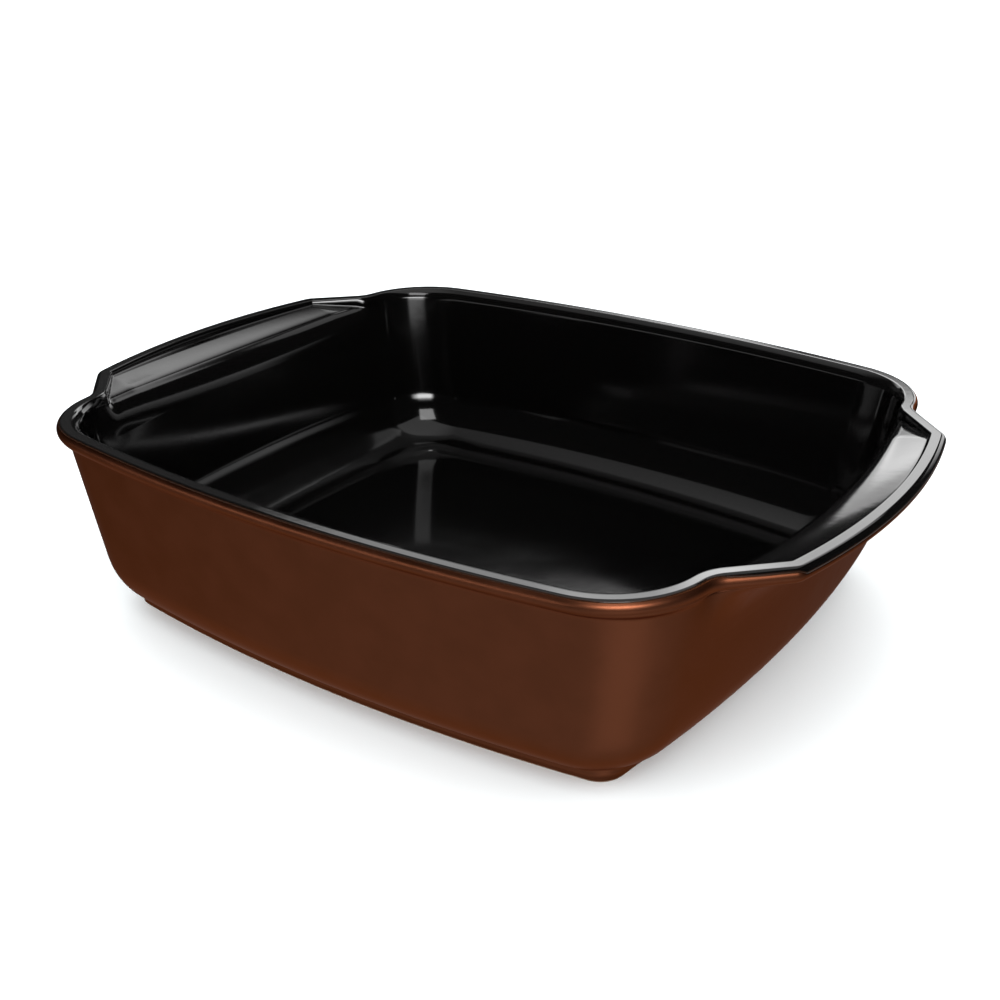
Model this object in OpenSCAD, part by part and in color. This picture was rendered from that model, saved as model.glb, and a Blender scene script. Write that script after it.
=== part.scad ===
// Rectangular ceramic baking dish with scooped end handles.
// One fired clay body, a black glaze inside and over the rim, a copper glaze outside, and a
// glazed patch under the base inside the bare foot ring.
// The dish stands on z = 0, centred on the origin, with its handles along X.

/* [Overall] */
// Height from the foot to the flat of the rim
height = 90.7; // [70:0.1:110]
// Width of the rim over the outer edges of its flat band, at the middle of the long sides
rim_width = 288.6; // [250:0.2:330]
// Length of the rim without the handles, at the middle of the short ends
body_length = 324.6; // [280:0.2:370]

/* [Rim outline] */
// Radius of the slight outward bow of the long sides
side_bow_r = 795; // [600:5:1500]
// Radius of the slight outward bow of the short ends
end_bow_r = 592; // [450:1:1200]
// Radius of the four corners at the rim
corner_r = 41; // [30:0.5:50]
// Direction, from the corner's centre, at which the corner ends and the notch starts
notch_angle = 7.5; // [2:0.5:14]
// Radius of the hollow notch between a corner and a handle
notch_r = 15.6; // [10:0.1:20]

/* [Handles] */
// How far a handle stands out past the short end
handle_reach = 22.7; // [16:0.1:30]
// Slant of a handle's two ends, measured from the dish's length
handle_slant = 45.4; // [38:0.1:52]
// Radius of a handle's two tips
tip_r = 6.4; // [5.8:0.1:9]
// Radius of the handle's long outer edge
handle_bow_r = 311; // [230:1:500]
// Height of the steep step from the flat band down to the scooped shelf, at a handle's tips
step_h = 2.4; // [1.5:0.1:4]
// Width of that step, seen from above
step_w = 1; // [0.6:0.1:1.4]
// Width of the steeper zone at the step's foot
step_foot_w = 11; // [6:0.5:16]
// How much more that zone falls at first than the shelf does, as a share of its width
step_foot_slope_share = 0.065; // [0:0.005:0.12]
// Fall of the scooped shelf, as a share of its width
scoop_slope_share = 0.165; // [0.1:0.005:0.2]
// How much deeper the shelf lies at the middle of a handle than at its tips
scoop_dip = 1.3; // [0:0.1:2]
// How tight the shelf's turn into the end wall is: 5 is wide, 15 tight
scoop_bend = 11; // [5:1:15]
// Depth under the rim at which the scoop has become the end wall
scoop_depth = 21; // [17:0.5:26]
// Depth under the rim at which the handle's underside has become the end wall
underside_depth = 32; // [28:0.5:38]

/* [Rim section] */
// Width of the flat band on top of the rim
flat_w = 4; // [3:0.1:6]
// Radius of the round bead outside the flat band
bead_r = 3.3; // [2.8:0.1:3.8]
// How far the bead stands out past the flat band
bead_out = 2.1; // [1.6:0.1:2.5]
// Direction of the bead's surface where it turns in under the rim, 0 is up and 90 outwards
bead_end_angle = 126; // [118:1:132]
// Height of the bevel from the flat band down into the inside
inner_edge_h = 4.7; // [3.5:0.1:6]
// How far the flat band stands out past the side walls under it
side_overhang = 3.8; // [2:0.1:5]
// How far the flat band stands out past the end walls under it
end_overhang = 0.4; // [0:0.1:2]
// Depth under the rim at which the bead has run into the wall
wall_top_depth = 9.6; // [8.5:0.1:12]

/* [Walls] */
// Thickness of the walls
wall_t = 5.2; // [4:0.1:7]
// How much rounder the inside's corners are than the outer wall's
inner_rounder = 6.4; // [3:0.1:8]
// How far a side wall leans in from its top to its bottom
side_draft = 10.1; // [5:0.1:16]
// How far an end wall leans in from its top to its bottom
end_draft = 15.4; // [8:0.1:22]
// Radius of the walls' corners at the top
wall_corner_r = 38.8; // [34:0.1:46]
// Radius of the walls' corners at the bottom
base_corner_r = 35; // [32:0.1:44]
// Radius of the end walls' bow at the bottom
base_end_bow_r = 731; // [500:1:1200]

/* [Bottom] */
// Width of the rounding between wall and base on the outside
outer_fillet_w = 18.1; // [15:0.1:22]
// Height of the rounding between wall and base on the outside
outer_fillet_h = 21.5; // [16:0.1:26]
// Radius of the rounding between wall and floor on the inside
inner_fillet_r = 24; // [18:0.1:28]
// Thickness of the floor over the recess in the base
floor_t = 7.6; // [5:0.1:10]
// How much lower the floor lies at its middle than at its edge
floor_dish = 1; // [0:0.05:1.5]
// Depth of the fine step around the flat of the floor
floor_step_h = 0.6; // [0.3:0.1:1]
// Width of that fine step
floor_step_w = 0.7; // [0.4:0.1:1.2]
// Distance of the fine step from the inner rounding, at the middle of the long sides
floor_margin_side = 4.3; // [2:0.1:8]
// Distance of the fine step from the inner rounding, at the middle of the short ends
floor_margin_end = 3.6; // [2:0.1:8]
// Corner radius of the fine step
floor_corner_r = 9; // [4:0.5:14]

/* [Foot] */
// Height of the foot ring at the base's edge
foot_h = 4; // [3:0.1:6]
// Width of the foot ring
foot_w = 8; // [6:0.1:12]
// How far the foot lies inside the side wall's bottom edge
foot_inset_side = 11.8; // [9:0.1:14]
// How far the foot lies inside the end wall's bottom edge
foot_inset_end = 12.8; // [9:0.1:14]
// Corner radius of the foot
foot_corner_r = 11.6; // [10:0.1:18]
// Height of the recess in the base, inside the foot ring
recess_h = 2.8; // [1.5:0.1:3.5]
// Rounding of the foot ring's bottom edges
foot_edge_r = 0.9; // [0.5:0.1:1]
// Height over the ground at which the copper glaze ends
glaze_line_h = 1.1; // [1.1:0.1:2.8]

/* [Glaze] */
// Thickness of the glazes
glaze_t = 0.4; // [0.2:0.05:0.6]
// Where the black glaze ends on the bead of the sides and corners, as the bead's direction
parting_angle = 40; // [34:1:50]
// Where it ends along a handle's slanted ends
slant_parting_angle = 58; // [50:1:75]
// Where it ends from a handle's tips on
handle_parting_angle = 84; // [76:1:110]

/* [Hidden] */

// Numbers of steps along each stretch of a quarter of the outline
long_steps = 4;
corner_steps = 6;
notch_steps = 3;
tip_steps = 2;
handle_steps = 4;

half_w = rim_width/2;
half_l = body_length/2;
base_depth = height - foot_h;
floor_z = recess_h + floor_t;
floor_middle_z = floor_z - floor_dish;
floor_depth = height - floor_z;

function unit(a) = [cos(a), sin(a)];
function mix(p, q, t) = p*(1 - t) + q*t;
function smooth(t) = let (s = min(max(t, 0), 1)) s*s*(3 - 2*s);
function bezier(t, a, b, c, d) =
    a*pow(1 - t, 3) + 3*b*t*pow(1 - t, 2) + 3*c*t*t*(1 - t) + d*pow(t, 3);
function arc(c, r, a0, a1, steps, first) =
    [for (k = [first:steps]) c + r*unit(a0 + (a1 - a0)*k/steps)];

// Centre of the corner arc that runs smoothly into both bows of an outline
function corner_centre(l, w, r, side_r, end_r) =
    let (
        a = [0, w - side_r],
        b = [l - end_r, 0],
        ra = side_r - r,
        rb = end_r - r,
        d = norm(b - a),
        e = (b - a)/d,
        s = (ra*ra - rb*rb + d*d)/(2*d),
        h = sqrt(ra*ra - s*s)
    )
    a + e*s + h*[e[1], -e[0]];

// The rim: its corner, notch, slanted end, tip and long handle edge
rim_centre = corner_centre(half_l, half_w, corner_r, side_bow_r, end_bow_r);
side_centre = [0, half_w - side_bow_r];
side_angle = atan2(rim_centre[1] - side_centre[1], rim_centre[0]);
notch_centre = rim_centre + (corner_r + notch_r)*unit(notch_angle);
notch_end = notch_centre + notch_r*unit(270 - handle_slant);
handle_centre = [half_l + handle_reach - handle_bow_r, 0];
slant_dir = unit(-handle_slant);
tip_from = notch_end - tip_r*unit(90 - handle_slant) - handle_centre;
tip_run = -tip_from*slant_dir
    + sqrt(pow(tip_from*slant_dir, 2) - tip_from*tip_from + pow(handle_bow_r - tip_r, 2));
tip_centre = handle_centre + tip_from + tip_run*slant_dir;
handle_angle = atan2(tip_centre[1], tip_centre[0] - handle_centre[0]);

// A quarter of the rim's outline, moved outwards by u
function rim_quarter(u) = concat(
    arc(side_centre, side_bow_r + u, 90, side_angle, long_steps, 0),
    arc(rim_centre, corner_r + u, side_angle, notch_angle, corner_steps, 1),
    arc(notch_centre, notch_r - u, 180 + notch_angle, 270 - handle_slant, notch_steps, 1),
    arc(tip_centre, tip_r + u, 90 - handle_slant, handle_angle, tip_steps, 0),
    arc(handle_centre, handle_bow_r + u, handle_angle, 0, handle_steps, 1));

side_count = long_steps + corner_steps + 1;
rim_line = rim_quarter(0);
quarter_count = len(rim_line);

// Places along the short end, as shares of the corner's end
end_shares = [for (i = [side_count:quarter_count - 1]) rim_line[i][1]/rim_line[side_count - 1][1]];

// How far along the outline each point lies: the corner counts from -1 to 0, the notch from
// 0 to 1, the slanted end from 1 to 2 and the tip from 2 to 3
notch_last = side_count + notch_steps - 1;
function way_along(i) =
    i < side_count ? (i - side_count + 1)/corner_steps
    : i <= notch_last ? (i - side_count + 1)/notch_steps
    : 2 + (i - notch_last - 1)/tip_steps;
function shares_between(first, last) =
    [for (i = [0:quarter_count - 1]) smooth((way_along(i) - first)/(last - first))];

// How much of the handle's shape each point takes, of the handle's underside, and of the
// parting lines at the slanted end and at the handle
handle_shares = [for (i = [0:quarter_count - 1]) min(max(way_along(i), 0), 1)];
underside_ways = [-0.5, 1.3];
slant_ways = [0.5, 1.5];
tip_ways = [2.1, 3.2];
underside_shares = shares_between(underside_ways[0], underside_ways[1]);
slant_shares = shares_between(slant_ways[0], slant_ways[1]);
tip_shares = shares_between(tip_ways[0], tip_ways[1]);

// A quarter of a plain outline with both its bows, with points that match the rim's
function plain_quarter(l, w, r, side_r, end_r) =
    let (
        c = corner_centre(l, w, r, side_r, end_r),
        a = [0, w - side_r],
        b = [l - end_r, 0],
        a_side = atan2(c[1] - a[1], c[0]),
        a_end = atan2(c[1], c[0] - b[0]),
        corner_end = c + r*unit(a_end)
    )
    concat(
        arc(a, side_r, 90, a_side, long_steps, 0),
        arc(c, r, a_side, a_end, corner_steps, 1),
        [for (s = end_shares)
            let (y = corner_end[1]*s) [b[0] + sqrt(end_r*end_r - y*y), y]]);

// The outer wall's outline at a depth under the rim, moved inwards by inset
function wall_quarter(depth, inset, rounder = 0) =
    let (
        t = (depth - wall_top_depth)/(base_depth - wall_top_depth),
        l = half_l - end_overhang - end_draft*t,
        w = half_w - side_overhang - side_draft*t,
        r = wall_corner_r + (base_corner_r - wall_corner_r)*t,
        end_r = end_bow_r + (base_end_bow_r - end_bow_r)*t
    )
    plain_quarter(l - inset, w - inset, r + rounder - inset, side_bow_r - inset, end_r - inset);
// The inner wall's outline, whose corners are rounder
function inner_wall_quarter(depth, inset = 0) =
    wall_quarter(depth, wall_t + inset, inner_rounder);

// The foot's outline, moved inwards by inset
foot_l = half_l - end_overhang - end_draft - foot_inset_end;
foot_wd = half_w - side_overhang - side_draft - foot_inset_side;
function foot_quarter(inset) = plain_quarter(
    foot_l - inset, foot_wd - inset, foot_corner_r - inset,
    side_bow_r - inset, base_end_bow_r - inset);

// The floor's fine step, moved inwards by inset
floor_in = wall_t + inner_fillet_r;
floor_t_share = (floor_depth - wall_top_depth)/(base_depth - wall_top_depth);
floor_l = half_l - end_overhang - end_draft*floor_t_share - floor_in - floor_margin_end;
floor_w = half_w - side_overhang - side_draft*floor_t_share - floor_in - floor_margin_side;
function floor_quarter(inset) = plain_quarter(
    floor_l - inset, floor_w - inset, floor_corner_r - inset,
    side_bow_r - inset, base_end_bow_r - inset);

// A whole ring from its quarter, clockwise from the middle of the back
function whole(q) =
    let (m = len(q) - 1)
    concat(
        q,
        [for (i = [1:m]) [q[m - i][0], -q[m - i][1], q[m - i][2]]],
        [for (i = [1:m]) [-q[i][0], -q[i][1], q[i][2]]],
        [for (i = [1:m - 1]) [-q[m - i][0], q[m - i][1], q[m - i][2]]]);
function level(q, z) = whole([for (p = q) [p[0], p[1], z]]);

// A place on the section through the wall: share of the way from the rim's outline moved
// out by u to the wall's outline, and the depth under the rim
function place(wall_share, u, depth) =
    let (rim = rim_quarter(u), wall = wall_quarter(depth, 0))
    [for (i = [0:quarter_count - 1])
        let (p = mix(rim[i], wall[i], wall_share)) [p[0], p[1], height - depth]];
function blended_quarter(side, handle, shares) =
    [for (i = [0:quarter_count - 1]) mix(side[i], handle[i], shares[i])];
function at_height(q, z) = [for (p = q) [p[0], p[1], z]];

// The round bead outside the flat band, where its surface faces a direction between up and
// outwards, which may be another one at each point
bead_top_angle = asin(1 - bead_out/bead_r);
out_line = rim_quarter(1);
function bead_depth(a) = bead_r*(cos(bead_top_angle) - cos(a));
function bead_quarter(angles) = [for (i = [0:quarter_count - 1])
    let (
        out = bead_out - bead_r*(1 - sin(angles[i])),
        p = rim_line[i] + (out_line[i] - rim_line[i])*out
    )
    [p[0], p[1], height - bead_depth(angles[i])]];

// The scoop's depth follows the distance from the handle's long edge to the end wall. At the
// slanted ends the same scoop runs on under a step that grows taller towards the notch.
shelf_u = -flat_w - step_w;
scoop_end_share = (scoop_depth - wall_top_depth)/(base_depth - wall_top_depth);
scoop_end_x = half_l - end_overhang - end_draft*scoop_end_share - wall_t;
scoop_end_r = end_bow_r + (base_end_bow_r - end_bow_r)*scoop_end_share - wall_t;
handle_tip_y = handle_bow_r*sin(handle_angle);
function scoop_depth_at(p) =
    let (
        step_x = handle_centre[0] + sqrt(pow(handle_bow_r + shelf_u, 2) - p[1]*p[1]),
        wall_x = scoop_end_x - scoop_end_r + sqrt(scoop_end_r*scoop_end_r - p[1]*p[1]),
        reach = step_x - wall_x,
        way = min(max(step_x - p[0], 0), reach),
        near = min(way, step_foot_w),
        foot = step_foot_slope_share*(near - near*near/(2*step_foot_w)),
        dip = scoop_dip*max(1 - pow(p[1]/handle_tip_y, 2), 0),
        shelf_end = step_h + dip + step_foot_slope_share*step_foot_w/2 + scoop_slope_share*reach
    )
    step_h + dip + foot + scoop_slope_share*way
        + (scoop_depth - shelf_end)*pow(way/reach, scoop_bend);

// Inside of the dish, from the floor up to the flat band
step_line = rim_quarter(shelf_u);
scoop_end_line = inner_wall_quarter(scoop_depth);
scoop_along_shares = [1, 0.965, 0.92, 0.85, 0.72, 0.42];
inner_edge_shares = [1, 0.75, 0.5, 0.25];
inner_fillet_angles = [80, 60, 42, 25, 10];
dish_shares = [0.4, 0.75];
// The bevel's curve: how far across and how far down its two middle control points lie
bevel_across_shares = [0.42, 0.93];
bevel_down_shares = [0.1, 0.52];

function shelf_quarter(along) = [for (i = [0:quarter_count - 1])
    let (p = mix(step_line[i], scoop_end_line[i], along))
    [p[0], p[1], height - scoop_depth_at(p)]];
function step_quarter(a) =
    let (line = rim_quarter(-flat_w - step_w*sin(a)))
    [for (i = [0:quarter_count - 1])
        [line[i][0], line[i][1], height - (1 - cos(a))*scoop_depth_at(step_line[i])]];
function bevel_quarter(share) =
    let (
        across = bezier(share, 0, bevel_across_shares[0], bevel_across_shares[1], 1),
        down = bezier(share, 0, bevel_down_shares[0], bevel_down_shares[1], 1)
    )
    at_height(rim_quarter(-flat_w)*(1 - across) + inner_wall_quarter(inner_edge_h)*across,
        height - inner_edge_h*down);
function scoop_ring(along) =
    let (depth = inner_edge_h + (scoop_depth - inner_edge_h)*along)
    whole(blended_quarter(
        at_height(inner_wall_quarter(depth), height - depth), shelf_quarter(along), handle_shares));
function inner_edge_ring(share) =
    whole(blended_quarter(bevel_quarter(share), step_quarter(90*share), handle_shares));
function inner_wall_ring(depth, inset) = level(inner_wall_quarter(depth, inset), height - depth);

inner_top_depth = floor_depth - inner_fillet_r*(1 - cos(inner_fillet_angles[0]));
inner_rings = concat(
    [for (s = dish_shares)
        level(floor_quarter(floor_step_w)*s, floor_middle_z + floor_dish*s*s)],
    [level(floor_quarter(floor_step_w), floor_z)],
    [level(floor_quarter(0), floor_z + floor_step_h)],
    [level(inner_wall_quarter(floor_depth, inner_fillet_r), floor_z + floor_step_h)],
    [for (k = [len(inner_fillet_angles) - 1:-1:0])
        let (a = inner_fillet_angles[k])
        inner_wall_ring(
            floor_depth - floor_step_h - inner_fillet_r*(1 - cos(a)),
            inner_fillet_r*(1 - sin(a)))],
    [inner_wall_ring((scoop_depth + inner_top_depth)/2, 0)],
    [for (s = scoop_along_shares) scoop_ring(s)],
    [for (s = inner_edge_shares) inner_edge_ring(s)],
    [level(rim_quarter(-flat_w), height)]);

// Black glaze over the outer edge, as far as the parting line with the copper glaze. On the
// long sides that line lies high on the bead, on the handles lower.
parting_angles = [for (i = [0:quarter_count - 1])
    parting_angle + (slant_parting_angle - parting_angle)*slant_shares[i]
        + (handle_parting_angle - slant_parting_angle)*tip_shares[i]];
function angles_between(from, to, share) =
    [for (i = [0:quarter_count - 1]) mix(from[i], to[i], share)];
function same_angle(a) = [for (i = [0:quarter_count - 1]) a];
black_edge_shares = [0.34, 0.67, 1];
black_rings = concat(
    [level(rim_line, height)],
    [for (s = black_edge_shares)
        whole(bead_quarter(angles_between(same_angle(bead_top_angle), parting_angles, s)))]);

// Outside of the bead under the parting line, and under it the side wall, or the handle's
// underside. Each ring has a share of the way from the rim's outline to the wall, and a share
// of the fall from the bead to the wall's top or to the underside's end. Fall shares run from
// the wall's top on. Insets are how far in from the rim's outline the handle's rings lie.
bead_shares = [0.34, 0.67, 1];
side_wall_shares = [0.33, 0.66, 0.92];
side_down_shares = [0.3, 0.52, 0.75];
side_fall_shares = [0, 0.15, 0.33, 0.55, 0.78];
handle_wall_shares = [0, 0, 0.2, 0.4, 0.58, 0.75, 0.89, 0.97];
handle_down_shares = [0.045, 0.085, 0.135, 0.19, 0.255, 0.35, 0.51, 0.72];
underside_in = 2.1;
handle_insets = [-0.2, 2.4, underside_in, underside_in, underside_in, underside_in,
    underside_in, underside_in];
bead_low = bead_depth(bead_end_angle);
side_turns = len(side_wall_shares);
function side_place(k) = k < side_turns
    ? place(side_wall_shares[k], bead_out, mix(bead_low, wall_top_depth, side_down_shares[k]))
    : place(1, 0, mix(wall_top_depth, underside_depth, side_fall_shares[k - side_turns]));
function handle_place(k) = place(handle_wall_shares[k], -handle_insets[k],
    mix(bead_low, underside_depth, handle_down_shares[k]));

bead_rings = concat(
    [for (s = bead_shares)
        whole(bead_quarter(angles_between(parting_angles, same_angle(bead_end_angle), s)))],
    [for (k = [0:len(handle_wall_shares) - 1])
        whole(blended_quarter(side_place(k), handle_place(k), underside_shares))],
    [whole(place(1, 0, underside_depth))]);

// Rounding between wall and base, as far as the foot
outer_fillet_angles = [82, 60, 42, 30];
function outer_fillet_depth(a) = base_depth - outer_fillet_h*(1 - cos(a));
outer_fillet_rings = [for (a = outer_fillet_angles)
    level(wall_quarter(outer_fillet_depth(a), outer_fillet_w*(1 - sin(a))),
        height - outer_fillet_depth(a))];

// The foot's top edge follows the rounding that it grows out of
base_line = wall_quarter(base_depth, 0);
base_line_in = wall_quarter(base_depth, foot_w);
foot_line = foot_quarter(0);
function rounding_height(inset) =
    let (s = 1 - min(max(inset/outer_fillet_w, 0), 1))
    foot_h + outer_fillet_h*(1 - sqrt(1 - s*s));
foot_top_ring = whole([for (i = [0:quarter_count - 1])
    let (
        n = (base_line[i] - base_line_in[i])/foot_w,
        inset = (base_line[i] - foot_line[i])*n
    )
    [foot_line[i][0], foot_line[i][1], rounding_height(inset)]]);

copper_rings = concat(bead_rings, outer_fillet_rings, [foot_top_ring],
    [level(foot_quarter(0), glaze_line_h)]);

// Bare clay of the foot ring and the recess in the base
bare_rings = [
    level(foot_quarter(glaze_t), foot_edge_r),
    level(foot_quarter(glaze_t + foot_edge_r), 0),
    level(foot_quarter(foot_w - foot_edge_r), 0),
    level(foot_quarter(foot_w), foot_edge_r),
    level(foot_quarter(foot_w), recess_h)];

// The glazed surface in one list, and the clay's surface under it
glazed = concat(inner_rings, black_rings, copper_rings);
ring_count = len(glazed[0]);
parting = len(inner_rings) + len(black_rings) - 1;
last = len(glazed) - 1;
function surface_normal(k, i) =
    let (
        along = glazed[k][(i + 1) % ring_count] - glazed[k][(i + ring_count - 1) % ring_count],
        across = glazed[min(k + 1, last)][i] - glazed[max(k - 1, 0)][i],
        n = cross(along, across)
    )
    n/norm(n);
function flat_or_normal(k, i) = k == 0 ? [0, 0, 1] : surface_normal(k, i);
clay = [for (k = [0:last]) [for (i = [0:ring_count - 1])
    glazed[k][i] - glaze_t*flat_or_normal(k, i)]];

// Triangles between ring a and ring b, which start at those point numbers. Seen from
// outside, a solid's faces run clockwise; turned is for a surface that faces the other way.
function strip(a, b, turned) = [for (i = [0:ring_count - 1]) for (t = [0:1])
    let (j = (i + 1) % ring_count, f = t == 0 ? [a + i, b + i, a + j] : [a + j, b + i, b + j])
    turned ? [f[2], f[1], f[0]] : f];
function fan(centre, a, turned) = [for (i = [0:ring_count - 1])
    let (j = (i + 1) % ring_count)
    turned ? [a + j, a + i, centre] : [centre, a + i, a + j]];
function flatten(lists) = [for (l = lists) for (x = l) x];
function ring_start(k) = k*ring_count;

// A solid between a list of rings on the glaze's face and the same list on the clay
module skin(face, back, closed_middle) {
    n = len(face);
    middle = 2*ring_start(n);
    middle_points = [[0, 0, floor_middle_z], [0, 0, floor_middle_z - glaze_t]];
    faces = concat(
        [for (k = [0:n - 2]) each strip(ring_start(k), ring_start(k + 1), false)],
        [for (k = [0:n - 2]) each strip(ring_start(n + k), ring_start(n + k + 1), true)],
        strip(ring_start(n - 1), ring_start(2*n - 1), false),
        closed_middle
            ? concat(fan(middle, ring_start(0), false), fan(middle + 1, ring_start(n), true))
            : strip(ring_start(0), ring_start(n), true));
    polyhedron(
        points = concat(flatten(face), flatten(back), closed_middle ? middle_points : []),
        faces = faces);
}

function sub_list(list, from, to) = [for (k = [from:to]) list[k]];

// Fired clay: floor, walls, rim, both handles and the foot ring, in one piece
module stoneware_body() {
    rings = concat(clay, bare_rings);
    n = len(rings);
    points = concat(flatten(rings), [[0, 0, floor_middle_z - glaze_t], [0, 0, recess_h]]);
    middle = ring_start(n);
    faces = concat(
        [for (k = [0:n - 2]) each strip(ring_start(k), ring_start(k + 1), false)],
        fan(middle, ring_start(0), false),
        fan(middle + 1, ring_start(n - 1), true));
    color("tan") polyhedron(points = points, faces = faces);
}

// Black gloss glaze: the inside, the handles' scoops and the flat of the rim
module inner_glaze() {
    color([0.03, 0.03, 0.03])
        skin(sub_list(glazed, 0, parting), sub_list(clay, 0, parting), true);
}

// Copper glaze: the outside, from the rim's rounded edge to just over the ground
module outer_glaze() {
    color([0.34, 0.19, 0.11])
        skin(sub_list(glazed, parting, last), sub_list(clay, parting, last), false);
}

// Glaze under the base, inside the bare foot ring
module base_glaze() {
    outline = [for (p = bare_rings[len(bare_rings) - 1]) [p[0], p[1]]];
    color([0.3, 0.17, 0.1])
        translate([0, 0, recess_h - glaze_t])
            linear_extrude(glaze_t) polygon(outline);
}

stoneware_body();
inner_glaze();
outer_glaze();
base_glaze();
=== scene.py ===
"""Looks of the ceramic baking dish: its glazes and clay, and the studio around it."""
import math

import bpy
import numpy as np
from mathutils import Matrix, Vector


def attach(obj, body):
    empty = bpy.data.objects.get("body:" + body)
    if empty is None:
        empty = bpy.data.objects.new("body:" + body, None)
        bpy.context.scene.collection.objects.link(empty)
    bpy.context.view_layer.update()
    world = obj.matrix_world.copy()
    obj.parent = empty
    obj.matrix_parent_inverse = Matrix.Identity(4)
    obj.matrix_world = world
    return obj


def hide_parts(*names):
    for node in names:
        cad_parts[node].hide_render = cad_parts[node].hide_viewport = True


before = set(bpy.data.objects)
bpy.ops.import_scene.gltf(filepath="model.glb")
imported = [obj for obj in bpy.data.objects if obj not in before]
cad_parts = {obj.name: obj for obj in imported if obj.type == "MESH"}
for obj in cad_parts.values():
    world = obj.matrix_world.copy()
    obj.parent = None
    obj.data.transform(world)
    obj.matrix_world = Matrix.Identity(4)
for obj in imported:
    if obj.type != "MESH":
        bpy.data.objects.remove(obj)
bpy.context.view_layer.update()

# Sizes of the dish, in millimetres and degrees. The meshes are scaled to metres.
MM = 0.001
HEIGHT = 90.7
RIM_WIDTH = 288.6
BODY_LENGTH = 324.6
SIDE_BOW_R = 795
END_BOW_R = 592
CORNER_R = 41
NOTCH_ANGLE = 7.5
NOTCH_R = 15.6
HANDLE_REACH = 22.7
HANDLE_SLANT = 45.4
TIP_R = 6.4
HANDLE_BOW_R = 311
STEP_H = 2.4
STEP_W = 1
STEP_FOOT_W = 11
STEP_FOOT_SLOPE = 0.065
SCOOP_SLOPE = 0.165
SCOOP_DIP = 1.3
SCOOP_BEND = 11
SCOOP_DEPTH = 21
UNDERSIDE_DEPTH = 32
FLAT_W = 4
BEAD_R = 3.3
BEAD_OUT = 2.1
BEAD_END_ANGLE = 126
INNER_EDGE_H = 4.7
SIDE_OVERHANG = 3.8
END_OVERHANG = 0.4
WALL_TOP_DEPTH = 9.6
WALL_T = 5.2
INNER_ROUNDER = 6.4
SIDE_DRAFT = 10.1
END_DRAFT = 15.4
WALL_CORNER_R = 38.8
BASE_CORNER_R = 35
BASE_END_BOW_R = 731
OUTER_FILLET_W = 18.1
OUTER_FILLET_H = 21.5
INNER_FILLET_R = 24
FLOOR_T = 7.6
FLOOR_DISH = 1
FLOOR_STEP_H = 0.6
FLOOR_STEP_W = 0.7
FLOOR_MARGIN_SIDE = 4.3
FLOOR_MARGIN_END = 3.6
FLOOR_CORNER_R = 9
FOOT_H = 4
FOOT_W = 8
FOOT_INSET_SIDE = 11.8
FOOT_INSET_END = 12.8
FOOT_CORNER_R = 11.6
RECESS_H = 2.8
FOOT_EDGE_R = 0.9
GLAZE_LINE_H = 1.1
GLAZE_T = 0.4
PATCH_SIDE_H = 0.16
PATCH_EDGE_W = 0.4
SEAM_REACH = 0.002
PARTING_ANGLE = 40
SLANT_PARTING_ANGLE = 58
HANDLE_PARTING_ANGLE = 84
UNDERSIDE_WAYS = (-0.5, 1.3)
SLANT_WAYS = (0.5, 1.5)
TIP_WAYS = (2.1, 3.2)

# The floor's flat middle ends this far inside the floor's edge
FLAT_INSET = FLOOR_STEP_W * 3

# Curves of the bevel inside the rim, as control values for the way across and down
BEVEL_ACROSS = (0, 0.42, 0.93, 1)
BEVEL_DOWN = (0, 0.1, 0.52, 1)

# Rings under the bead on the sides: shares of the way in to the wall and of the fall to it,
# and then depths on the wall itself
SIDE_TURNS = ((0.33, 0.3), (0.66, 0.52), (0.92, 0.75))
SIDE_DEPTHS = (13, 17, 22, 27)

# Rings under a handle: share of the way in to the wall, distance out, share of the depth
HANDLE_TURNS = (
    (0, 0.2, 0.045),
    (0, -2.4, 0.085),
    (0.2, -2.1, 0.135),
    (0.4, -2.1, 0.19),
    (0.58, -2.1, 0.255),
    (0.75, -2.1, 0.35),
    (0.89, -2.1, 0.51),
    (0.97, -2.1, 0.72),
)

# The share of the foot's side that its rounded top takes
FOOT_ROUND_SHARE = 0.35

# Numbers of steps along each stretch of a quarter of the outline
LONG_STEPS = 26
CORNER_STEPS = 22
NOTCH_STEPS = 10
SLANT_STEPS = 8
TIP_STEPS = 8
HANDLE_STEPS = 24

# Numbers of rings over each stretch of the surface, from the middle of the floor outwards
FLOOR_RINGS = 10
FLOOR_STEP_RINGS = 6
INNER_FILLET_RINGS = 24
INNER_WALL_RINGS = 6
SHELF_RINGS = 29
SHELF_COVE_RINGS = 5
BEVEL_RINGS = 18
BLACK_EDGE_RINGS = 8
BEAD_RINGS = 11
UNDER_BEAD_STEPS = 5
OUTER_WALL_RINGS = 5
OUTER_FILLET_RINGS = 20
FOOT_COVE_RINGS = 6
FOOT_EDGE_RINGS = 6

# Where rings lie on the floor's edge and on the flat band, as shares of their widths, and the
# power that crowds the scoop's rings towards the wall
FLOOR_EDGE_SHARES = (0.2, 0.6, 1)
FLAT_SHARES = (0.85, 0.15)
SHELF_CROWDING = 1.6

HALF_W = RIM_WIDTH / 2
HALF_L = BODY_LENGTH / 2
BASE_DEPTH = HEIGHT - FOOT_H
FLOOR_Z = RECESS_H + FLOOR_T
FLOOR_DEPTH = HEIGHT - FLOOR_Z
BEAD_TOP_ANGLE = math.degrees(math.asin(1 - BEAD_OUT / BEAD_R))


def unit(angle):
    """The direction at an angle in degrees."""
    return np.array([math.cos(math.radians(angle)), math.sin(math.radians(angle))])


def arc(centre, radius, start, end, steps, first=0):
    """Points on an arc from one angle to another, without those before the first step."""
    angles = np.radians(start + (end - start) * np.arange(first, steps + 1) / steps)
    return np.asarray(centre) + radius * np.stack([np.cos(angles), np.sin(angles)], 1)


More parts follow.
